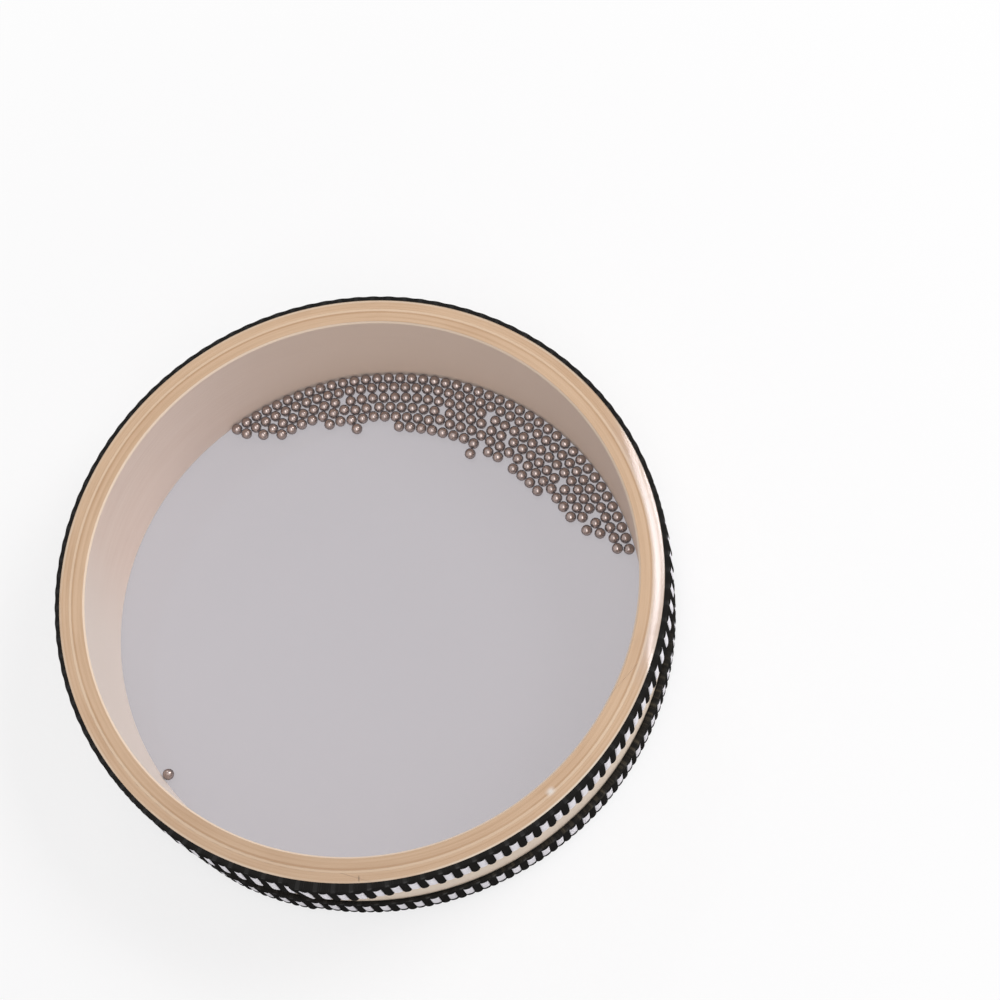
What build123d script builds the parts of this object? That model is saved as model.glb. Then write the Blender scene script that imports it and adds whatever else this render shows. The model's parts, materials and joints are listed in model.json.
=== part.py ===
from build123d import *

import math
import os

# Driving sizes, in millimetres and degrees. The drum lies on its lower head at z = 0, its axis is Z,
# and the balls are gathered against the wall on the +Y side.

# Hoop: two thick plies bent round a thin middle one
hoop_diameter = 200.0
hoop_height = 44.5
outer_ply_thickness = 3.3
middle_ply_thickness = 0.8
inner_ply_thickness = 4.3
glue_line = 0.03
eased_edge = 0.6
scarf_slope = 3.0  # length of a ply's slanted end joint for each millimetre of its thickness
scarf_gap = 0.06
outer_scarf_angle = 291.6
middle_scarf_angle = 150.0
inner_scarf_angle = 357.0

# Heads: clear film drawn over each end of the hoop and down its side
film_thickness = 0.25
film_skirt_height = 9.0
film_gap = 0.03

# Ribbons: a black woven tape round each edge, with raised white bars
ribbon_width = 13.6
tape_thickness = 0.95
lap_thickness = 0.95  # what the end of a tape adds where it laps over the beginning
tape_gap = 0.03
ribbon_setback = 0.2  # how far a ribbon's edge stays inside the face of the drum
bar_pitch = 5.61
bar_width = 2.97
bar_thickness = 0.4
bar_gap = 0.02
upper_bar_drop = 3.3  # black band above the upper ribbon's bars
upper_bar_length = 10.1
lower_bar_drop = 2.6
lower_bar_length = 9.2
upper_seam_angle = 288.0  # middle of the stretch where a ribbon's end laps over its beginning
lower_seam_angle = 270.5
seam_bars = 5  # bars carried by the lap

# Balls: loose steel balls in rows against the wall, nested and tapering to both ends
ball_diameter = 4.0
ball_seat_gap = 0.15
ball_touch_gap = 0.02
wall_row_pitch = 4.19
row_step = 3.75
row_slack = 0.35  # how far a ball may ride up out of its pocket before its place is left empty
pile_start_angle = 33.5
pile_end_angle = 146.5
pile_crest_angle = 79.0
pile_depth = 20.8
pile_ripple = 2.0  # unevenness of the free edge
pile_ripple_angle = 19.0
empty_place_every_angle = 19.0  # so far apart lie the places in an inner row with no ball
empty_place_wide_angle = 1.8
empty_place_turn_angle = 7.3  # the empty places of each further row are turned by this
march_angle = 0.02
row_count = 6
ball_corners = 6  # corners in each of the two rings of a faceted ball
ball_ring_latitude_angle = 24.0
stray_ball_angle = 237.3

# Worked out from the sizes above
hoop_radius = hoop_diameter / 2
outer_ply_inside = hoop_radius - outer_ply_thickness
middle_ply_outside = outer_ply_inside - glue_line
middle_ply_inside = middle_ply_outside - middle_ply_thickness
inner_ply_outside = middle_ply_inside - glue_line
hoop_inside = inner_ply_outside - inner_ply_thickness
hoop_bottom = film_thickness
hoop_top = hoop_bottom + hoop_height
drum_height = hoop_top + film_thickness

skirt_inside = hoop_radius + film_gap
skirt_outside = skirt_inside + film_thickness
tape_inside = skirt_outside + tape_gap
tape_outside = tape_inside + tape_thickness
upper_ribbon_top = drum_height - ribbon_setback
lower_ribbon_top = ribbon_setback + ribbon_width
bar_count = round(2 * math.pi * tape_outside / bar_pitch)
bar_step = 360.0 / bar_count

ball_reach = ball_diameter + ball_touch_gap
wall_row_radius = hoop_inside - ball_seat_gap - ball_diameter / 2


def ring(inside, outside, bottom, top):
    """A plain ring about Z between two radii and two heights."""
    height = top - bottom
    tube = Cylinder(outside, height) - Cylinder(inside, height)
    return Pos(0, 0, (bottom + top) / 2) * tube


def scarf_slot(inside, outside, angle):
    """The thin slanted slot between the two ends of a bent ply."""
    thickness = outside - inside
    slant = math.degrees(math.atan(1 / scarf_slope))
    length = 2 * thickness / math.sin(math.radians(slant))
    slot = Rot(0, 0, 90 - slant) * Box(length, scarf_gap, 2 * hoop_height)
    return Rot(0, 0, angle) * Pos((inside + outside) / 2, 0, (hoop_bottom + hoop_top) / 2) * slot


def ply(inside, outside, scarf_angle):
    """One bent strip of the hoop, closed into a ring by its scarf."""
    return ring(inside, outside, hoop_bottom, hoop_top) - scarf_slot(inside, outside, scarf_angle)


def inner_ply():
    """The innermost strip, with both corners towards the chamber eased."""
    strip = ring(hoop_inside, inner_ply_outside, hoop_bottom, hoop_top)
    corners = strip.edges().filter_by(GeomType.CIRCLE).sort_by(SortBy.RADIUS)[:2]
    strip = chamfer(corners, eased_edge)
    return strip - scarf_slot(hoop_inside, inner_ply_outside, inner_scarf_angle)


def head(face, seat, skirt_end):
    """A disc of film that lies on one end of the hoop, with its skirt folded down the side."""
    low, high = min(face, skirt_end), max(face, skirt_end)
    shell = Pos(0, 0, (low + high) / 2) * Cylinder(skirt_outside, high - low)
    low, high = min(seat, skirt_end), max(seat, skirt_end)
    return shell - Pos(0, 0, (low + high) / 2) * Cylinder(skirt_inside, high - low)


def ribbon_tape(top, seam_angle):
    """The black tape, one turn round the drum with its end lapped over its beginning."""
    tape = ring(tape_inside, tape_outside, top - ribbon_width, top)
    lap_outside = tape_outside + lap_thickness
    middle = Pos((tape_inside + lap_outside) / 2, top - ribbon_width / 2)
    section = middle * Rectangle(lap_outside - tape_inside, ribbon_width)
    lap = revolve(Plane.XZ * section, Axis.Z, revolution_arc=seam_bars * bar_step)
    return tape + Rot(0, 0, seam_angle - seam_bars * bar_step / 2) * lap


def white_bar(length):
    """One raised bar, flat on the tape and crowned to a ridge, like a long low hip roof."""
    half_width = bar_width / 2
    half_length = length / 2
    half_ridge = half_length - half_width
    foot = [(0, y, z) for y in (-half_width, half_width) for z in (-half_length, half_length)]
    ridge = [(bar_thickness, 0, z) for z in (-half_ridge, half_ridge)]
    return ConvexPolyhedron(foot + ridge).solid()


def white_bars(top, drop, length, seam_angle):
    """The raised bars of one ribbon, evenly round it, those on the lap further out."""
    bar = white_bar(length)
    first = seam_angle - (seam_bars - 1) * bar_step / 2
    bars = []
    for index in range(bar_count):
        lift = lap_thickness if index < seam_bars else 0
        place = Pos(tape_outside + lift + bar_gap, 0, top - drop - length / 2)
        bars.append(Rot(0, 0, first + index * bar_step) * place * bar)
    return bars


def faceted_ball():
    """A ball of plain triangles: two rings of corners half a step apart, and a pole above and below."""
    radius = ball_diameter / 2
    ring_height = radius * math.tan(math.radians(ball_ring_latitude_angle))
    points = [(0, 0, -radius), (0, 0, radius)]
    for index in range(2 * ball_corners):
        turn = math.pi * index / ball_corners
        height = ring_height if index % 2 else -ring_height
        points.append((radius * math.cos(turn), radius * math.sin(turn), height))
    return ConvexPolyhedron(points).solid()


def pile_edge(angle):
    """Least radius of a ball at this angle: half an ellipse with an off-centre crest and a ripple."""
    side = pile_end_angle if angle > pile_crest_angle else pile_start_angle
    share = (angle - pile_crest_angle) / (side - pile_crest_angle)
    bulge = math.sqrt(max(0.0, 1 - share * share))
    ripple = math.sin(2 * math.pi * angle / pile_ripple_angle)
    return wall_row_radius - bulge * (pile_depth + pile_ripple * ripple)


def seat_radius(angle, placed):
    """The largest radius at which a ball at this angle clears the balls already placed."""
    radius = wall_row_radius
    for other_radius, other_angle in placed:
        aside = other_radius * math.sin(math.radians(angle - other_angle))
        along = other_radius * math.cos(math.radians(angle - other_angle))
        if abs(aside) < ball_reach and along > 0:
            radius = min(radius, along - math.sqrt(ball_reach**2 - aside**2))
    return radius


def can_roll_off(radius, angle, placed):
    """Whether a ball could roll off along -Y with no ball of an outer row in its way."""
    x = radius * math.cos(math.radians(angle))
    y = radius * math.sin(math.radians(angle))
    for other_radius, other_angle in placed:
        other_x = other_radius * math.cos(math.radians(other_angle))
        other_y = other_radius * math.sin(math.radians(other_angle))
        if abs(other_x - x) < ball_diameter and other_y < y:
            return False
    return True


def distance(one, other):
    """Distance between two places given as radius and angle."""
    return math.dist(
        (one[0] * math.cos(math.radians(one[1])), one[0] * math.sin(math.radians(one[1]))),
        (other[0] * math.cos(math.radians(other[1])), other[0] * math.sin(math.radians(other[1]))),
    )


def wall_row():
    """The row of balls that touches the wall, as (radius, angle)."""
    step = math.degrees(wall_row_pitch / wall_row_radius)
    count = int((pile_end_angle - pile_start_angle) / step) + 1
    return [(wall_row_radius, pile_end_angle - index * step) for index in range(count)]


def next_row(rows):
    """A further row, marched along the last one: each ball sits in the hollow it meets first."""
    placed = [ball for row in rows for ball in row]
    least_radius = wall_row_radius - len(rows) * row_step - row_slack
    row = []
    angle = pile_end_angle
    while angle > pile_start_angle:
        radius = seat_radius(angle, placed)
        turned = angle + len(rows) * empty_place_turn_angle
        empty = len(rows) > 1 and turned % empty_place_every_angle < empty_place_wide_angle
        apart = not row or distance((radius, angle), row[-1]) >= ball_reach
        inside = max(least_radius, pile_edge(angle)) <= radius < wall_row_radius
        if apart and inside and not empty and can_roll_off(radius, angle, placed):
            row.append((radius, angle))
        angle -= march_angle
    return row


def ball_rows():
    """All the rows of the pile, from the wall inwards. The last one keeps the few balls before it too."""
    rows = [wall_row()]
    while rows[-1]:
        rows.append(next_row(rows))
    front = [ball for row in rows[row_count - 1:] for ball in row]
    return rows[:row_count - 1] + [front]


def balls(places):
    """Balls lying on the lower head at the given radii and angles."""
    ball = faceted_ball()
    height = film_thickness + ball_seat_gap + ball_diameter / 2
    return [Rot(0, 0, angle) * Pos(radius, 0, height) * ball for radius, angle in places]


def save(name, *solids):
    """Write one node, as a single solid or as a group of separate ones."""
    shape = solids[0] if len(solids) == 1 else Compound(children=list(solids))
    export_step(shape, os.path.join("parts", name + ".step"))


os.makedirs("parts", exist_ok=True)

save("hoop_outer_ply", ply(outer_ply_inside, hoop_radius, outer_scarf_angle).solid())
save("hoop_middle_ply", ply(middle_ply_inside, middle_ply_outside, middle_scarf_angle).solid())
save("hoop_inner_ply", inner_ply().solid())

save("upper_head", head(drum_height, hoop_top, hoop_top - film_skirt_height).solid())
save("lower_head", head(0.0, hoop_bottom, hoop_bottom + film_skirt_height).solid())

save("upper_ribbon", ribbon_tape(upper_ribbon_top, upper_seam_angle).solid())
upper_bars = white_bars(upper_ribbon_top, upper_bar_drop, upper_bar_length, upper_seam_angle)
save("upper_ribbon_white_bars", *upper_bars)
save("lower_ribbon", ribbon_tape(lower_ribbon_top, lower_seam_angle).solid())
lower_bars = white_bars(lower_ribbon_top, lower_bar_drop, lower_bar_length, lower_seam_angle)
save("lower_ribbon_white_bars", *lower_bars)

pile = ball_rows()
for number, row in enumerate(pile, start=1):
    save(f"ball_row_{number}", *balls(row))
save("stray_ball", *balls([(wall_row_radius, stray_ball_angle)]))

print("bars on each ribbon", bar_count)
print("balls in each row", [len(row) for row in pile], "and one stray")
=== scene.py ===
import json
import math

import bpy
import numpy as np
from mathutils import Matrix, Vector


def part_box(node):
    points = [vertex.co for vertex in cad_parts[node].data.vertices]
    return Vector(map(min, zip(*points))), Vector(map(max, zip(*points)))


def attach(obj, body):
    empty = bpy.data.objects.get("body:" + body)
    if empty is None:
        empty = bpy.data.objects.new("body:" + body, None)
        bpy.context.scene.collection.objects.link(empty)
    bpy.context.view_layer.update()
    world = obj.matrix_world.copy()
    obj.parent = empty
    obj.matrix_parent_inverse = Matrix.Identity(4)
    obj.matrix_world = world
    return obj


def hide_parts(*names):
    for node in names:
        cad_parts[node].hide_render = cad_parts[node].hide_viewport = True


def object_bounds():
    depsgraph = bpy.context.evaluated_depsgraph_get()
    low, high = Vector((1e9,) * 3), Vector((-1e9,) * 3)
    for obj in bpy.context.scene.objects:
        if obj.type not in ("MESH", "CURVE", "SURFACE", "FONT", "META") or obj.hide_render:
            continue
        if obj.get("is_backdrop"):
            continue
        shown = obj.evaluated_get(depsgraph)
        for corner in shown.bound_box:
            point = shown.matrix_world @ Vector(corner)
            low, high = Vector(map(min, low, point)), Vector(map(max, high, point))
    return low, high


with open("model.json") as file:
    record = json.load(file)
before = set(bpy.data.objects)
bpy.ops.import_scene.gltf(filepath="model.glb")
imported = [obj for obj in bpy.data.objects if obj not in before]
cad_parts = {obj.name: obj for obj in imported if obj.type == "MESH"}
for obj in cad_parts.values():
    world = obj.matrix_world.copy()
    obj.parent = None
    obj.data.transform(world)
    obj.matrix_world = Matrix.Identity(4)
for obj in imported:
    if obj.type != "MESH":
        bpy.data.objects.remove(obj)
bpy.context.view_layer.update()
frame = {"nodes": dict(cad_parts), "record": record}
mm = 0.001  # in metres


# Shader maths: a Num is one output socket, and + - * / ** on it add Math nodes
class Num:
    def __init__(self, look, socket):
        self.look = look
        self.socket = socket

    def math(self, operation, *others):
        return self.look.node("ShaderNodeMath", {"operation": operation}, dict(enumerate((self, *others))))

    def __add__(self, other):
        return self.math("ADD", other)

    __radd__ = __add__

    def __sub__(self, other):
        return self.math("SUBTRACT", other)

    def __rsub__(self, other):
        return self * -1 + other

    def __mul__(self, other):
        return self.math("MULTIPLY", other)

    __rmul__ = __mul__

    def __truediv__(self, other):
        return self.math("DIVIDE", other)

    def __rtruediv__(self, other):
        return self**-1 * other

    def __pow__(self, other):
        return self.math("POWER", other)

    def most(self, other):
        return self.math("MAXIMUM", other)

    def least(self, other):
        return self.math("MINIMUM", other)

    def wave(self):  # sine of a value given in turns
        return (self * math.tau).math("SINE")

    def above(self, low, high):  # 0 below low, 1 above high, smooth between
        ends = {"Value": self, "From Min": low, "From Max": high}
        return self.look.node("ShaderNodeMapRange", {"interpolation_type": "SMOOTHSTEP"}, ends)

    def near(self, middle, half):  # 1 at middle, fading to 0 at half away from it
        return 1 - (self - middle).math("ABSOLUTE").above(0.0, half)


class Look:
    def __init__(self, name, shader="Principled BSDF", owner=None, **sockets):
        self.material = owner or bpy.data.materials.new(name)
        self.material.use_nodes = True
        self.tree = self.material.node_tree
        self.shader = self.tree.nodes[shader]
        for socket, value in sockets.items():
            self.shader.inputs[socket.replace("_", " ")].default_value = value

    # any node: its settings first, then the values or links of its sockets
    def node(self, kind, settings, sockets, output=0):
        made = self.tree.nodes.new(kind)
        for key, value in settings.items():
            setattr(made, key, value)
        for key, value in sockets.items():
            if isinstance(value, Num):
                self.tree.links.new(value.socket, made.inputs[key])
            else:
                made.inputs[key].default_value = value
        return Num(self, made.outputs[output])

    def split(self, vector):
        first = self.node("ShaderNodeSeparateXYZ", {}, {"Vector": vector})
        return [Num(self, output) for output in first.socket.node.outputs]

    def place(self):  # Object coordinates x, y and z in millimetres
        return [part * 1000 for part in self.split(self.node("ShaderNodeTexCoord", {}, {}, "Object"))]

    def fromAxis(self, x, y):  # distance from the hoop's axis
        return (x * x + y * y) ** 0.5

    def degrees(self, x, y):  # angle round the axis from +X, -180 to 180
        return y.math("ARCTAN2", x) * (180 / math.pi)

    def facing(self, x, y, radius, angle):  # 1 on the side of the axis at that angle, -1 on the other
        return (x * math.cos(math.radians(angle)) + y * math.sin(math.radians(angle))) / radius

    def noise(self, x, y, z, detail=3.0, rough=0.55, w=None):
        spot = self.node("ShaderNodeCombineXYZ", {}, {"X": x, "Y": y, "Z": z})
        sockets = {"Vector": spot, "Scale": 1.0, "Detail": detail, "Roughness": rough}
        if w is None:
            return self.node("ShaderNodeTexNoise", {}, sockets)
        sockets["W"] = w
        return self.node("ShaderNodeTexNoise", {"noise_dimensions": "4D"}, sockets)

    def mix(self, share, one, other):  # sockets 6 and 7 are the colours
        return self.node("ShaderNodeMix", {"data_type": "RGBA"}, {"Factor": share, 6: one, 7: other}, 2)

    def bump(self, height, depth):  # depth in metres for a height of 1
        sockets = {"Height": height, "Distance": depth, "Strength": 1.0}
        return self.node("ShaderNodeBump", {}, sockets, "Normal")

    # 1 for what the camera sees, straight or in metal and glass, and 0 for the light that falls on things
    def seen(self):
        kinds = ("Is Camera Ray", "Is Glossy Ray", "Is Transmission Ray")
        camera, glossy, through = (self.node("ShaderNodeLightPath", {}, {}, kind) for kind in kinds)
        return camera.most(glossy).most(through)

    def feed(self, **links):
        for socket, value in links.items():
            self.tree.links.new(value.socket, self.shader.inputs[socket.replace("_", " ")])
        return self.material


def paint(red, green, blue):  # a screen colour, 0 to 255, as the linear colour that a socket takes
    share = np.array([red, green, blue]) / 255
    linear = np.where(share <= 0.04045, share / 12.92, ((share + 0.055) / 1.055) ** 2.4)
    return (*linear, 1.0)


def ease(value, low, high):  # 0 below low, 1 above high, smooth between
    share = np.clip((value - low) / (high - low), 0, 1)
    return share * share * (3 - 2 * share)


quarter = np.linspace(0, np.pi / 2, 5)  # a rounded corner, in four steps


def roundAxis(radius, angle, height):  # points from their distance to the axis, their angle and their height
    x = radius * np.cos(angle)
    y = radius * np.sin(angle)
    return np.stack(np.broadcast_arrays(x, y, height), axis=-1)


def addPiece(name, points, faces, material, body, uv=None):
    mesh = bpy.data.meshes.new(name)
    mesh.from_pydata(points.reshape(-1, 3).tolist(), [], faces)
    mesh.shade_smooth()
    if uv is not None:
        corner = np.zeros(len(mesh.loops), np.int32)
        mesh.loops.foreach_get("vertex_index", corner)
        mesh.uv_layers.new(name="UVMap").data.foreach_set("uv", uv(corner).astype(np.float32).ravel())
    mesh.materials.append(material)
    piece = bpy.data.objects.new(name, mesh)
    bpy.context.scene.collection.objects.link(piece)
    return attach(piece, body)


def dress(node, material):
    mesh = frame["nodes"][node].data
    mesh.materials.clear()
    mesh.materials.append(material)


# Hoop: the CAD plies, with grain that runs round the drum
hoop = dict(
    rim=paint(227, 194, 158),
    rimDark=paint(203, 164, 125),
    wall=paint(252, 233, 218),
    wallDark=paint(232, 206, 188),
    outerWall=paint(234, 217, 198),
    outerWallDark=paint(214, 194, 172),
    core=paint(238, 210, 177),
    easedCut=paint(250, 228, 202),
    eased=0.62,  # how far down the eased corner reaches, in millimetres
    easedFade=0.05,
    endFade=(0.03, 0.08),  # millimetres from an end of the hoop, where the rim's colours end
    insideRadius=92.5,  # millimetres from the axis, past which a wall isn't the inner one
    insideFade=0.3,
    sheen=0.2,
    rough=0.42,
    roughSpread=0.2,
    fibreDepth=0.02 * mm,
    poreDepth=0.4,  # as a part of the fibres' depth
    grains=dict(  # to each millimetre: along the grain, across it on the rim and on a wall; then detail
        fibre=(0.018, 1.3, 1.3, 4.0),
        drift=(0.05, 0.3, 0.15, 3.0),
        pore=(0.3, 4.0, 4.0, 2.0),
    ),
    rimGrain=dict(fibre=(0.35, 0.75, 0.5), drift=(0.4, 0.75, 0.3), pore=(0.6, 0.75, 0.2)),  # levels, weight
    wallGrain=dict(fibre=(0.3, 0.8, 0.45), drift=(0.35, 0.8, 0.3), pore=(0.6, 0.75, 0.2)),
    wallGrainShare=0.6,
    streakLeast=0.55,  # how strong a streak is where the drift is least
    deep=paint(150, 124, 100),  # painted shade: the rim is darker round this angle, on its near side
    deepAngle=-80.0,
    deepHalf=75.0,
    deepShare=0.2,
    wear=paint(250, 236, 214),  # painted highlight: a pale line where the film bears on the outer ply, standing in for the glint along the film's edge, palest round this angle
    wearRadius=99.55,
    wearWidth=0.6,
    wearAngle=-30.0,
    wearHalf=48.0,
    wearLevels=(0.3, 0.6),
    marks=[  # on the rim: middle and half width in degrees, then in millimetres from the axis
        dict(colour=paint(92, 66, 44), share=0.75, turn=(-68.4, 0.22), radius=(98.4, 1.4)),  # dark joint
        dict(colour=paint(248, 243, 236), share=0.85, turn=(-29.2, 1.3), radius=(95.6, 1.7)),  # pale smudge
    ],
    tints=[  # painted light and shade on the inner wall: fade is how far round from the angle it reaches, 1 at the angle, -1 opposite
        dict(colour=paint(246, 224, 200), share=0.7, angle=65.0, fade=(-0.2, 0.8)),  # painted shade: darker and warmer at the back
        dict(colour=paint(255, 245, 234), share=0.85, angle=-130.0, fade=(0.7, 0.95)),  # painted light: paler at the front
    ],
)
plies = dict(  # rim and wall, each with its grain, and the rim's streaks: radius, half width, weight
    outer=("rim", "rimDark", "outerWall", "outerWallDark", [(97.6, 0.35, 0.25), (98.8, 0.3, 0.2)]),
    middle=("core", "rim", "wall", "wallDark", []),
    inner=("rim", "rimDark", "wall", "wallDark", [(95.5, 0.55, 0.7), (93.6, 0.4, 0.2)]),
)
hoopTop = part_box("hoop_inner_ply")[1].z / mm
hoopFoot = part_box("hoop_inner_ply")[0].z / mm


def grainShare(noises, weights):  # weighted sum of the noises, each faded in between two levels
    return sum(noises[name].above(low, high) * weight for name, (low, high, weight) in weights.items())


# The rim and the walls have colours of their own and share one grain, which runs round the drum.
def woodLook(name, rim, rimDark, wall, wallDark, streaks):
    look = Look(name, Specular_IOR_Level=hoop["sheen"])
    x, y, z = look.place()
    radius = look.fromAxis(x, y)
    turn = look.degrees(x, y)
    noises = {}
    for grain, (along, onRim, onWall, detail) in hoop["grains"].items():
        noises[grain] = look.noise(x * along, y * along, radius * onRim, detail=detail, w=z * onWall)
    close, far = hoop["endFade"]
    upper = z.above(hoopTop - far, hoopTop - close)
    lower = 1 - z.above(hoopFoot + close, hoopFoot + far)
    cutFoot = hoopTop - hoop["eased"]
    cut = z.above(cutFoot, cutFoot + hoop["easedFade"]) - upper

    dark = grainShare(noises, hoop["rimGrain"])
    for middle, half, weight in streaks:
        dark = dark + radius.near(middle, half) * weight * (hoop["streakLeast"] + noises["drift"])
    edge = look.mix(dark.least(1.0), rim, rimDark)
    # painted shade: the rim darker round one angle, on its near side
    edge = look.mix(turn.near(hoop["deepAngle"], hoop["deepHalf"]) * hoop["deepShare"], edge, hoop["deep"])
    # painted highlight: the pale glint line along the film's edge, in patches and strongest round one angle
    patchy = noises["drift"].above(*hoop["wearLevels"])
    wearAndGlint = patchy * 0.5 + turn.near(hoop["wearAngle"], hoop["wearHalf"]) * 0.5
    edge = look.mix(radius.near(hoop["wearRadius"], hoop["wearWidth"]) * wearAndGlint, edge, hoop["wear"])
    for mark in hoop["marks"]:
        spot = turn.near(*mark["turn"]) * radius.near(*mark["radius"])
        edge = look.mix(spot * upper * mark["share"], edge, mark["colour"])

    side = look.mix(grainShare(noises, hoop["wallGrain"]) * hoop["wallGrainShare"], wall, wallDark)
    inside = 1 - radius.above(hoop["insideRadius"], hoop["insideRadius"] + hoop["insideFade"])
    # painted light and shade on the inner wall: paler at the front, darker and warmer at the back
    for tint in hoop["tints"]:
        there = look.facing(x, y, radius, tint["angle"]).above(*tint["fade"])
        side = look.mix(there * inside * tint["share"], side, tint["colour"])
    side = look.mix(cut, side, hoop["easedCut"])
    return look.feed(
        Base_Color=look.mix(upper + lower, side, edge),
        Roughness=hoop["rough"] + noises["fibre"] * hoop["roughSpread"],
        Normal=look.bump(noises["fibre"] + noises["pore"] * hoop["poreDepth"], hoop["fibreDepth"]),
    )


for ply, (rim, rimDark, wall, wallDark, streaks) in plies.items():
    wood = woodLook(ply + "PlyWood", hoop[rim], hoop[rimDark], hoop[wall], hoop[wallDark], streaks)
    dress("hoop_" + ply + "_ply", wood)
print("hoop dressed")


# Heads: clear film, one thin skin each, drawn over the end of the hoop and down its side
film = dict(
    lift=0.13 * mm,  # above the wood
    outside=100.16 * mm,
    corner=0.25 * mm,
    skirt=9.0 * mm,
    flatRings=[0.03, 0.06, 0.085, 0.095],  # circles of points on the flat, metres from the axis
    round=256,
    haze=paint(236, 234, 240),
    edge=paint(22, 30, 20),
    edgeFade=(99.93, 100.0),  # millimetres from the axis, where the film bends down and is painted dark green and nearly opaque, partly the film's own edge colour and partly painted shade
    edgeShare=0.95,
    upperTint=(0.955, 0.95, 0.955, 1.0),
    lowerTint=(0.63, 0.606, 0.627, 1.0),  # painted shade: darker than the upper film, standing in for the shade on the floor seen through it
    mirror=0.052,  # part of the light that it throws back, seen square on
    mirrorGrazing=0.9,  # what a grazing angle adds
    metal=0.5,
    rough=0.08,
    edgeRough=0.7,
    shoulderStart=94.6,  # where the film begins to round over the rim, in millimetres from the axis
    shoulderCurve=0.055,
    shoulderRough=0.2,
    shoulderRoughFade=(0.3, 1.5),  # millimetres outside that start
    shoulderMirror=0.22,
    shoulderMirrorFade=(0.5, 2.0),
    slackStart=(-6.0, 8.0),  # degrees round the rim, between which the film gets less tight and tight again
    slackEnd=(32.0, 58.0),
    ripple=0.05,  # height in millimetres
    rippleScale=0.04,  # ripples to each millimetre
    wobble=0.5,  # how far the shoulder's start wanders, in millimetres
    wobbleScale=0.09,
    heightScale=0.02,  # of both, along z
)


# A profile turned about the axis: flat from the middle to the corner, a quarter circle, then straight down.
def filmPoints(face, down):
    flat = film["outside"] - film["corner"]
    flatRings = film["flatRings"]
    radius = np.concatenate([flatRings, flat + film["corner"] * np.sin(quarter), [film["outside"]]])
    fall = np.concatenate([np.zeros(len(flatRings)), film["corner"] * (1 - np.cos(quarter)), [film["skirt"]]])
    turn = np.linspace(0, math.tau, film["round"], endpoint=False)[:, None]
    rings = roundAxis(radius, turn, face + down * fall)
    return np.concatenate([rings.reshape(-1, 3), [[0, 0, face]]])


def filmFaces(rings, down):  # quads between the rings, and triangles to the point in the middle
    turn, ring = np.meshgrid(np.arange(film["round"]), np.arange(rings - 1), indexing="ij")
    here = turn * rings + ring
    there = (turn + 1) % film["round"] * rings + ring
    quads = np.stack([here, here + 1, there + 1, there], axis=-1).reshape(-1, 4)
    first = np.arange(film["round"]) * rings
    centre = np.full(film["round"], film["round"] * rings)
    middle = np.stack([first, np.roll(first, -1), centre], axis=-1)
    if down > 0:  # the lower head looks down
        quads, middle = quads[:, ::-1], middle[:, ::-1]
    return quads.tolist() + middle.tolist()


# The film is tight, but along one stretch its shoulder is rounder and catches the light.
def filmLook(name, tint):
    look = Look(name)
    x, y, z = look.place()
    radius = look.fromAxis(x, y)
    turn = look.degrees(x, y)
    level = z * film["heightScale"]
    ripple = look.noise(x * film["rippleScale"], y * film["rippleScale"], level, detail=2.0)
    wobble = look.noise(x * film["wobbleScale"], y * film["wobbleScale"], level, detail=2.0)
    slack = turn.above(*film["slackStart"]) * (1 - turn.above(*film["slackEnd"]))
    outside = (radius - (film["shoulderStart"] + wobble * film["wobble"])).most(0.0)
    height = ripple * film["ripple"] - outside * outside * film["shoulderCurve"] * slack
    # painted shade along the film's bend over the rim: dark green and nearly opaque, partly the film's own
    # edge colour
    edge = radius.above(*film["edgeFade"])
    blurred = slack * outside.above(*film["shoulderRoughFade"]) * film["shoulderRough"]
    look.feed(
        Base_Color=look.mix(edge, film["haze"], film["edge"]),
        Normal=look.bump(height, mm),
        Metallic=film["metal"] - edge * film["metal"],
        Roughness=film["rough"] + edge * film["edgeRough"] + blurred,
    )
    slant = look.node("ShaderNodeLayerWeight", {}, {"Blend": 0.5}, "Facing")
    shoulder = outside.above(*film["shoulderMirrorFade"]) * slack * film["shoulderMirror"]
    mirror = slant**5 * film["mirrorGrazing"] + shoulder + film["mirror"]  # the fifth power, as on glass
    share = mirror.most(edge * film["edgeShare"])
    clear = look.node("ShaderNodeBsdfTransparent", {}, {"Color": tint})
    gloss = Num(look, look.shader.outputs[0])
    both = look.node("ShaderNodeMixShader", {}, {0: share, 1: clear, 2: gloss})
    look.tree.links.new(both.socket, look.tree.nodes["Material Output"].inputs["Surface"])
    return look.material


heads = dict(upper=(hoopTop * mm + film["lift"], -1), lower=(hoopFoot * mm - film["lift"], 1))
for side, (face, down) in heads.items():
    points = filmPoints(face, down)
    rings = (len(points) - 1) // film["round"]
    skin = filmLook(side + "Film", film[side + "Tint"])
    head = addPiece(side + "Head", points, filmFaces(rings, down), skin, "drum")
    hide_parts(side + "_head")
print("heads made")


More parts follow.
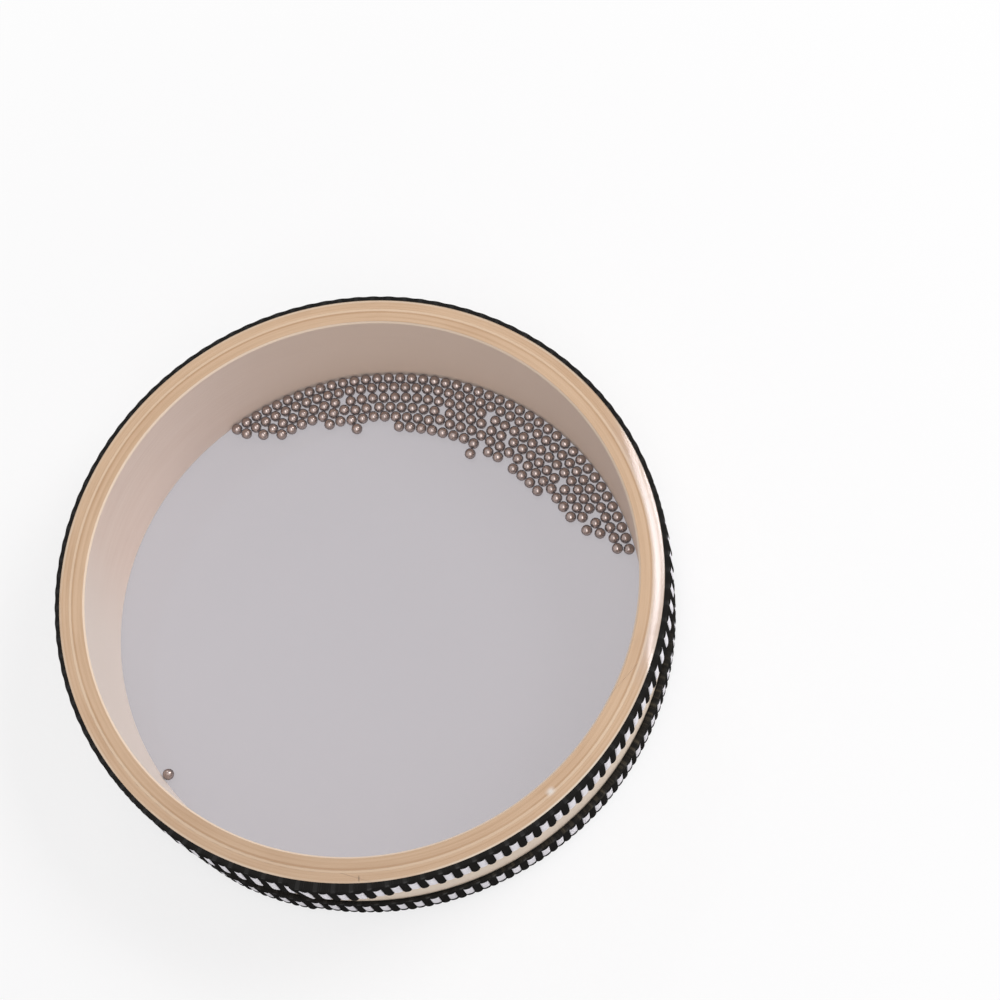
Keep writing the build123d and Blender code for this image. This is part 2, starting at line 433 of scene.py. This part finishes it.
# Ribbons: a black woven tape with crowned black bars, and crowned white bars between them
ribbon = dict(
    barCount=113,
    seamBars=5,
    length=0.662,  # metres, laid flat, its lap counted in
    whiteShare=0.52,  # part of the pitch that is white
    inside=100.2 * mm,
    outside=101.26 * mm,
    corner=0.25 * mm,
    lap=0.95 * mm,  # what the end adds where it laps over the beginning
    cutSlant=0.4,  # bars between the top and the foot of the lap's cut end
    cutFade=0.1,  # bars over which that end falls
    blackCrown=0.34 * mm,  # above the tape's face
    whiteCrown=0.30 * mm,
    crownLift=0.04 * mm,  # of the band's foot and the edge, above the crowns
    groove=0.14 * mm,  # between the bars, below the tape's face
    barFade=(-0.05 * mm, 0.12 * mm),  # from the top of the bars, where the band gives way to them
    footFade=(-0.12 * mm, 0.06 * mm),  # from their foot, where they give way to the edge
    twist=0.10 * mm,  # rope-like relief of the plain band
    bulge=0.08 * mm,
    twistLean=0.7,  # bars that a strand of the rope moves on from the foot of the band to its top
    ropeShare=0.3,  # part of the band that is all rope
    ropeEnd=0.1 * mm,  # above the foot of the band
    scallop=0.45 * mm,
    scallopReach=1.0 * mm,  # above the foot of the bars
    tuck=0.2 * mm,  # how far a white bar starts under the band
    tiltSpread=0.05,  # of the bars, by chance
    widthSpread=0.04,
    seed=7,
    pulledTilt=0.5,  # lean of the bar that the lap's cut end has pulled out of line
    pulledLength=2.2 * mm,
    pulledTaper=0.7,
    samplesPerBar=12,
    black=paint(36, 35, 34),
    blackWorn=paint(52, 51, 50),
    wornScale=0.35,  # worn patches to each millimetre
    wornLevels=(0.35, 0.75),
    rough=0.36,
    roughSpread=0.2,
    warpRows=2.2,  # threads to each millimetre down the tape
    warpWaves=7.0,  # to each bar
    warpSway=0.12,
    twillLines=9.0,  # to each bar
    twillLean=1.6,
    threadLevels=(0.2, 1.0),  # of the weave's height, -1 to 1, between which it wears
    threadDepth=0.035 * mm,
    crestAt=0.45,  # bars from the middle of a white one to the start of a strand that shines
    crestLevels=(0.5, 0.95),
    crestDown=(0.35, 0.9),  # millimetres below the top, where the shine ends
    crestCoat=0.3,
    coatRough=0.16,
    dust=paint(126, 116, 98),
    dustAngle=-18.0,  # middle and half width of the stretch where a band has brownish streaks
    dustHalf=48.0,
    dustDown=(0.4, 1.7),  # millimetres below the top, where the streaks end
    dustScale=(3.4, 1.4, 1.2),  # streaks to each bar, their lean, and to each millimetre down
    dustLevels=(0.45, 0.7),
    white=paint(252, 250, 254),
    whiteShade=paint(224, 219, 230),
    yarnRough=0.7,
    yarnStrands=2.4,  # to each millimetre along a bar
    yarnSway=0.7,
    yarnSwayScale=0.8,
    yarnShade=0.45,  # painted shade between the strands
    yarnPatchShade=0.35,
    yarnPatchScale=0.5,
    yarnPatchLevels=(0.4, 0.8),
    yarnDepth=0.04 * mm,
)
# Either ribbon has a plain band above the bars, and may have a plain edge below them. lip is how far its top
# curls in, rise and lower are how far it passes its CAD solid, and seam is the angle of the lap's middle.
# loose gives degrees, and how far the top and the foot stand off the drum there. The lap adds lapShare times
# the ribbon's lap, is cut off at the bar cutAt and sinks between the bars lapFall. pulled is 1 where its cut
# end pulls a bar out of line.
rows = dict(
    upper=dict(
        band=3.3 * mm, bars=10.1 * mm, edge=0.0, lip=0.36 * mm, rise=0.2 * mm, lower=0.4 * mm, seam=288.0,
        loose=[(240, 0, 0), (252, 0, 0.4), (262, 0.1, 0.8), (272, 0.2, 1.1), (279, 0.15, 0.9), (280, 0, 0),
               (355, 0, 0), (366, 0, 0.8), (374, 0, 1.1), (390, 0, 0.8), (405, 0, 0)],
        pulled=1.0, lapShare=1.45, lapFall=(1.8, 5.8), cutAt=-0.55, dust=0.0,
    ),
    lower=dict(
        band=2.6 * mm, bars=9.2 * mm, edge=1.8 * mm, lip=0.0, rise=0.0, lower=0.0, seam=270.5,
        loose=[(300, 0, 0), (320, 0.35, 0.2), (340, 0.95, 0.75), (370, 1.0, 0.7), (390, 0.5, 0.5),
               (410, 0, 0)],
        pulled=0.0, lapShare=0.6, lapFall=(-2.5, 0.5), cutAt=4.55, dust=0.35,
    ),
)
barStep = math.tau / ribbon["barCount"]


def firstBar(row):  # the angle of the first bar on the lap
    return math.radians(row["seam"]) - (ribbon["seamBars"] - 1) * barStep / 2


# How far a ribbon stands off: its loose stretches, and its lap, which stops at a slanted cut and sinks slowly
# at its other end. turn counts bars from the first one on the lap, down is 0 at the top and 1 at the foot.
def standOff(row, turn, down):
    angle = np.degrees(firstBar(row) + turn * barStep)
    at, top, foot = np.array(row["loose"]).T
    angle = (angle - at[0]) % 360 + at[0]
    loose = (np.interp(angle, at, top) * (1 - down) + np.interp(angle, at, foot) * down) * mm
    half = ribbon["barCount"] / 2
    turn = (turn + half) % ribbon["barCount"] - half
    cut = row["cutAt"] + ribbon["cutSlant"] * (down - 0.5)
    start, end = row["lapFall"]
    if start > row["cutAt"]:
        lap = ease(turn, cut - ribbon["cutFade"], cut) * (1 - ease(turn, start, end))
    else:
        lap = ease(turn, start, end) * (1 - ease(turn, cut, cut + ribbon["cutFade"]))
    return loose + ribbon["lap"] * row["lapShare"] * lap


# Section of the tape, from its inner top edge out, down the face and back in at the foot: out is 0 inside and
# 1 on the face, fall is the distance below the top. Its points lie close together at both ends of the bars.
def tapeSection(width, drop, foot, lip):
    thick = ribbon["outside"] - ribbon["inside"]
    corner = ribbon["corner"]
    turnOut = (thick - corner + corner * np.sin(quarter)) / thick
    turnFall = corner * (1 - np.cos(quarter))
    band = [corner + 0.4 * mm, drop - 1.3 * mm, drop - 0.7 * mm]
    ends = [drop + fade for fade in ribbon["barFade"]] + [foot + fade for fade in ribbon["footFade"]]
    bars = np.linspace(drop + 0.7 * mm, foot - 0.7 * mm, 7)
    face = np.sort(np.concatenate([band, ends, bars, [foot + 0.9 * mm]]))
    face = face[(face > corner + 0.1 * mm) & (face < width - corner - 0.1 * mm)]
    startOut = np.array([0, -1, -0.6]) * lip / thick if lip else np.zeros(1)
    startFall = np.array([0.22, 0.06, 0.0]) * mm if lip else np.zeros(1)
    out = np.concatenate([startOut, turnOut, np.ones(len(face)), turnOut[::-1], [0]])
    fall = np.concatenate([startFall, turnFall, face, width - turnFall[::-1], [width]])
    return out[None, :], fall[None, :]


def crown(offset, half):  # half an ellipse, 1 at offset 0 and 0 from half on
    return np.sqrt(np.clip(1 - (offset / half) ** 2, 0, 1))


# Tape: the section carried round the drum (turn, in bars). The bars are half ellipses with a groove between
# them. The plain band takes up their crowns at its foot and is a leaning cosine, like a rope, at its top.
# Below the bars a narrow edge stands as far out as they do, and the foot is scalloped.
def tapePoints(row, top, width, drop, foot):
    turn = np.arange(ribbon["barCount"] * ribbon["samplesPerBar"])[:, None] / ribbon["samplesPerBar"]
    out, fall = tapeSection(width, drop, foot, row["lip"])
    groove = ribbon["groove"]
    white = crown((turn + 0.5) % 1 - 0.5, ribbon["whiteShare"] / 2)
    black = crown(turn % 1 - 0.5, (1 - ribbon["whiteShare"]) / 2)
    blackRelief = black * (ribbon["blackCrown"] + groove) - groove
    crowns = blackRelief + white * (ribbon["whiteCrown"] + groove) + ribbon["crownLift"]
    strand = np.cos(math.tau * (turn - ribbon["twistLean"] * (1 - fall / drop)))
    rope = 1 - ease(fall, drop * ribbon["ropeShare"], drop - ribbon["ropeEnd"])
    band = rope * (ribbon["bulge"] + ribbon["twist"] * strand) + (1 - rope) * crowns
    barZone = ease(fall, *(drop + fade for fade in ribbon["barFade"]))
    edgeZone = ease(fall, *(foot + fade for fade in ribbon["footFade"]))
    relief = (1 - barZone) * band + barZone * (1 - edgeZone) * blackRelief + edgeZone * crowns
    thick = ribbon["outside"] - ribbon["inside"]
    shape = np.clip(out, 0, 1)
    radius = ribbon["inside"] + out * thick + shape * (relief + standOff(row, turn, fall / width))
    scallop = ribbon["scallop"] * (1 - black) * ease(fall, foot - ribbon["scallopReach"], foot)
    return roundAxis(radius, firstBar(row) + turn * barStep, top - fall + scallop)


def loopFaces(rowCount, columnCount):  # quads of a grid that closes both ways
    row, column = np.meshgrid(np.arange(rowCount), np.arange(columnCount), indexing="ij")
    nextColumn = (column + 1) % columnCount
    here = row * columnCount
    there = (row + 1) % rowCount * columnCount
    corners = [here + column, here + nextColumn, there + nextColumn, there + column]
    return np.stack(corners, axis=-1).reshape(-1, 4).tolist()


# Bars: along each bar (0 at the top, 1 at the foot) a half ellipse that comes out from under the band and
# closes at the foot. The bar at the lap's cut end leans and runs on to a narrow tip. Two points are its back.
def barPoints(row, top, width, drop):
    count = ribbon["barCount"]
    along = np.array([0.0, 0.06, 0.25, 0.5, 0.75, 0.95, 1.0])[None, :, None]
    arch = np.linspace(0, np.pi, 7)
    across = np.concatenate([-np.cos(arch), [0.6, -0.6]])[None, None, :]
    out = np.concatenate([np.sin(arch), [-0.4, -0.4]])[None, None, :]
    index = np.arange(count)[:, None, None]
    chance = np.random.default_rng(ribbon["seed"])
    tilt = chance.normal(0, ribbon["tiltSpread"], (count, 1, 1))
    wide = 1 + chance.normal(0, ribbon["widthSpread"], (count, 1, 1))
    pulled = (index == 0) * row["pulled"]
    close = np.clip(1 - along**14, 0.02, 1) ** 0.5  # 1 along most of the bar, then round to its foot
    fall = drop - ribbon["tuck"] + along * (row["bars"] + ribbon["tuck"] + pulled * ribbon["pulledLength"])
    radius = ribbon["outside"] - ribbon["groove"] + standOff(row, index, np.clip(fall / width, 0, 1))
    radius = radius + (ribbon["whiteCrown"] + ribbon["groove"]) * out * close
    taper = 1 - ribbon["pulledTaper"] * pulled * ease(along, 0.4, 1.0)
    halfWidth = ribbon["whiteShare"] / 2 * barStep * wide * taper
    lean = (tilt + pulled * ribbon["pulledTilt"]) * (along - 0.5) * 2
    angle = firstBar(row) + index * barStep + halfWidth * across * (0.9 + 0.1 * close) + lean * barStep / 4
    return roundAxis(radius, angle, top - fall)


def barFaces(count, stations, around):  # quads between the stations, and a cap at each end
    grid = np.meshgrid(np.arange(count), np.arange(stations - 1), np.arange(around), indexing="ij")
    bar, station, side = grid
    nextSide = (side + 1) % around
    start = bar * stations * around + station * around
    corners = [start + side, start + around + side, start + around + nextSide, start + nextSide]
    quads = np.stack(corners, axis=-1).reshape(-1, 4).tolist()
    first = np.arange(count)[:, None] * stations * around
    last = first + (stations - 1) * around
    caps = np.concatenate([first + np.arange(around), last + np.arange(around)[::-1]])
    return quads + caps.tolist()


# Woven black: swaying threads along the tape and a leaning twill across them, worn pale where they stand up.
# The strands of the band shine at its top edge, and brownish streaks lie on it.
def tapeLook(name, dust):
    look = Look(name, Specular_IOR_Level=0.0, Coat_Roughness=ribbon["coatRough"])
    turn, down = look.split(look.node("ShaderNodeTexCoord", {}, {}, "UV"))[:2]
    sway = (turn * ribbon["warpWaves"]).wave() * ribbon["warpSway"]
    warp = (down * ribbon["warpRows"] + sway).wave()
    twill = (turn * ribbon["twillLines"] + down * ribbon["twillLean"]).wave()
    thread = warp * 0.5 + twill * 0.5
    x, y, z = look.place()
    scale = ribbon["wornScale"]
    wearAndGlint = look.noise(x * scale, y * scale, z * scale)
    paler = thread.above(*ribbon["threadLevels"]) * wearAndGlint.above(*ribbon["wornLevels"])
    black = look.mix(paler, ribbon["black"], ribbon["blackWorn"])
    crest = (turn - ribbon["crestAt"]).wave().above(*ribbon["crestLevels"])
    crest = crest * (1 - down.above(*ribbon["crestDown"]))
    streaked = look.degrees(x, y).near(ribbon["dustAngle"], ribbon["dustHalf"])
    streaked = streaked * (1 - down.above(*ribbon["dustDown"]))
    streaks, lean, fine = ribbon["dustScale"]
    streak = look.noise(turn * streaks + down * lean, down * fine, 0.0).above(*ribbon["dustLevels"])
    return look.feed(
        Base_Color=look.mix(streaked * streak * dust, black, ribbon["dust"]),
        Roughness=ribbon["rough"] + wearAndGlint * ribbon["roughSpread"],
        Coat_Weight=crest * ribbon["crestCoat"],
        Normal=look.bump(thread, ribbon["threadDepth"]),
    )


# White yarn: strands across a bar that sway a little, with painted shade between them, and darker in soft
# patches.
def yarnLook():
    look = Look("whiteYarn", Roughness=ribbon["yarnRough"], Sheen_Weight=0.2, Sheen_Roughness=0.5)
    x, y, z = look.place()
    scale = ribbon["yarnSwayScale"]
    sway = look.noise(x * scale, y * scale, z * scale) * ribbon["yarnSway"]
    strand = (z * ribbon["yarnStrands"] + sway).wave()
    scale = ribbon["yarnPatchScale"]
    soft = look.noise(x * scale, y * scale, z * scale)
    patch = soft.above(*ribbon["yarnPatchLevels"]) * ribbon["yarnPatchShade"]
    # painted shade between the strands, and random darker patches
    shade = (0.5 - strand * 0.5) * ribbon["yarnShade"] + patch
    return look.feed(
        Base_Color=look.mix(shade, ribbon["white"], ribbon["whiteShade"]),
        Normal=look.bump(strand, ribbon["yarnDepth"]),
    )


# UV of the tape: bars along it, and millimetres down it. Quads that close the loop go on past the last bar.
def tapeUv(corner, fall):
    turn = (corner // len(fall) / ribbon["samplesPerBar"]).reshape(-1, 4)
    wraps = (turn.max(1) - turn.min(1) > 1)[:, None]
    turn = np.where(wraps & (turn < 1), turn + ribbon["barCount"], turn)
    return np.stack([turn.ravel(), fall[corner % len(fall)] / mm], axis=-1)


tapeLooks = {side: tapeLook(side + "BlackTape", row["dust"]) for side, row in rows.items()}
whiteYarn = yarnLook()
for side, row in rows.items():
    low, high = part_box(side + "_ribbon")
    top = high.z + row["rise"]
    width = high.z - low.z + row["rise"] + row["lower"]
    drop = row["band"] + row["rise"]
    foot = width - row["edge"]
    tape = tapePoints(row, top, width, drop, foot)
    fall = tapeSection(width, drop, foot, row["lip"])[1][0]
    faces = loopFaces(*tape.shape[:2])
    tapePiece = addPiece(
        side + "Tape", tape, faces, tapeLooks[side], "drum", lambda corner: tapeUv(corner, fall))
    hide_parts(side + "_ribbon")
    bars = barPoints(row, top, width, drop)
    barPiece = addPiece(side + "Bars", bars, barFaces(*bars.shape[:3]), whiteYarn, "drum")
    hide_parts(side + "_ribbon_white_bars")
    side + "_head"
print("ribbons made")


# Balls: round ones at the places of the CAD balls, each row on its own body
ball = dict(
    radius=2.0 * mm,
    round=12,
    bands=6,
    steel=paint(178, 162, 155),
    steelDull=paint(154, 139, 132),
    edge=(0.22, 0.2, 0.19, 1.0),  # painted shade: only this much of the shine is left at a grazing angle, which darkens each ball's outline
    smearScale=0.6,  # smears to each millimetre
    smearLevels=(0.35, 0.7),
    rough=0.1,
    roughSpread=0.14,
)


# A ball is a circle of points for each latitude, with one point at either pole.
def ballPoints():
    latitude = np.linspace(-np.pi / 2, np.pi / 2, ball["bands"] + 1)[1:-1, None]
    longitude = np.linspace(0, math.tau, ball["round"], endpoint=False)[None, :]
    rings = roundAxis(np.cos(latitude), longitude, np.sin(latitude))
    poles = np.array([[0, 0, -1.0], [0, 0, 1.0]])
    return np.concatenate([rings.reshape(-1, 3), poles]) * ball["radius"]


def ballFaces():  # quads between the circles, and triangles to the poles
    around, rings = ball["round"], ball["bands"] - 1
    side = np.arange(around)
    nextSide = (side + 1) % around
    start = np.arange(rings - 1)[:, None] * around
    above = start + around
    quads = np.stack([start + side, start + nextSide, above + nextSide, above + side], axis=-1)
    south = np.stack([nextSide, side, np.full(around, rings * around)], axis=-1)
    last = (rings - 1) * around
    north = np.stack([last + side, last + nextSide, np.full(around, rings * around + 1)], axis=-1)
    return quads.reshape(-1, 4), np.concatenate([south, north])


def nodePoints(node):  # the points of a CAD node, one ball after another
    mesh = frame["nodes"][node].data
    flat = np.zeros(len(mesh.vertices) * 3, np.float32)
    mesh.vertices.foreach_get("co", flat)
    return flat.reshape(-1, 3)


def steelLook():  # bright steel with dull smears
    look = Look("ballSteel", Metallic=1.0, Specular_Tint=ball["edge"])
    x, y, z = look.place()
    scale = ball["smearScale"]
    smear = look.noise(x * scale, y * scale, z * scale, detail=4.0)
    return look.feed(
        Base_Color=look.mix(smear.above(*ball["smearLevels"]), ball["steel"], ball["steelDull"]),
        Roughness=ball["rough"] + smear * ball["roughSpread"],
    )


ballSteel = steelLook()
pointsPerBall = len(nodePoints("stray_ball"))
unitBall = ballPoints()
unitQuads, unitTriangles = ballFaces()
for body, nodes in frame["record"]["behaviour"]["bodies"].items():
    for node in nodes:
        if "ball" not in node:
            continue
        corners = nodePoints(node).reshape(-1, pointsPerBall, 3)
        centres = (corners.min(1) + corners.max(1)) / 2
        points = centres[:, None, :] + unitBall
        start = np.arange(len(centres))[:, None, None] * len(unitBall)
        quads = (start + unitQuads).reshape(-1, 4).tolist()
        triangles = (start + unitTriangles).reshape(-1, 3).tolist()
        piece = addPiece(node.replace("_", "") + "Round", points, quads + triangles, ballSteel, body)
        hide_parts(node)
print("balls made")


# Floor, light and camera
studio = dict(
    floor=paint(250, 249, 250),
    floorCorners=[(-20, -20), (20, -20), (20, 20), (-20, 20)],  # metres
    floorLevel=-0.3 * mm,
    floorWhite=0.7,  # part of the floor that looks plain white, whatever shade lies on it
    allWhite=(140, 480),  # millimetres from the axis, between which that part grows to the whole
    sky=0.4,  # strength of its light on things; where it is seen, it is white
    cameraPlace=(178.46 * mm, -160.34 * mm, 671.68 * mm),
    cameraTurn=(20.5836, 6.0220, 20.0430),  # degrees
    lens=73.854,
)
lamps = dict(  # degrees round from +X, degrees above the floor, metres away, size in metres, watts
    key=dict(turn=51.0, rise=47.0, away=2.4, size=(1.25, 0.75), power=19.0),
    overhead=dict(turn=-60.0, rise=62.5, away=2.2, size=(0.9, 1.9), power=13.8),
    side=dict(turn=50.0, rise=24.0, away=2.2, size=(0.8, 0.4), power=7.4),
    back=dict(turn=125.0, rise=38.0, away=2.2, size=(0.5, 0.3), power=2.4),
)

floorMesh = bpy.data.meshes.new("floor")
floorMesh.from_pydata([(x, y, studio["floorLevel"]) for x, y in studio["floorCorners"]], [], [(0, 1, 2, 3)])
floorLook = Look("floorPaper", Roughness=0.9, Specular_IOR_Level=0.0, Base_Color=studio["floor"])
away = floorLook.fromAxis(*floorLook.place()[:2]).above(*studio["allWhite"])
seen = floorLook.seen() * (studio["floorWhite"] + away * (1 - studio["floorWhite"]))
paper = Num(floorLook, floorLook.shader.outputs[0])
white = floorLook.node("ShaderNodeEmission", {}, {"Color": (1.0, 1.0, 1.0, 1.0), "Strength": 1.0})
both = floorLook.node("ShaderNodeMixShader", {}, {0: seen, 1: paper, 2: white})
floorLook.tree.links.new(both.socket, floorLook.tree.nodes["Material Output"].inputs["Surface"])
floorMesh.materials.append(floorLook.material)
floor = bpy.data.objects.new("floor", floorMesh)
bpy.context.scene.collection.objects.link(floor)
floor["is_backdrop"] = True

world = bpy.data.worlds.new("studioLight")
skyLook = Look("studioLight", "Background", world, Color=(1.0, 0.99, 1.0, 1.0))
skyLook.feed(Strength=studio["sky"] + skyLook.seen() * (1 - studio["sky"]))
bpy.context.scene.world = world

for name, lamp in lamps.items():
    turn, rise = math.radians(lamp["turn"]), math.radians(lamp["rise"])
    light = bpy.data.lights.new(name, "AREA")
    light.shape = "RECTANGLE"
    light.size, light.size_y = lamp["size"]
    light.energy = lamp["power"]
    holder = bpy.data.objects.new(name, light)
    direction = np.array([math.cos(turn) * math.cos(rise), math.sin(turn) * math.cos(rise), math.sin(rise)])
    holder.location = direction * lamp["away"]
    holder.rotation_euler = (math.pi / 2 - rise, 0, turn + math.pi / 2)
    bpy.context.scene.collection.objects.link(holder)

cameraData = bpy.data.cameras.new("camera")
cameraData.lens = studio["lens"]
camera = bpy.data.objects.new("camera", cameraData)
camera.location = studio["cameraPlace"]
camera.rotation_euler = [math.radians(angle) for angle in studio["cameraTurn"]]
bpy.context.scene.collection.objects.link(camera)
bpy.context.scene.camera = camera
bpy.context.scene.view_settings.view_transform = "Standard"
print("stage set")

low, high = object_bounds()
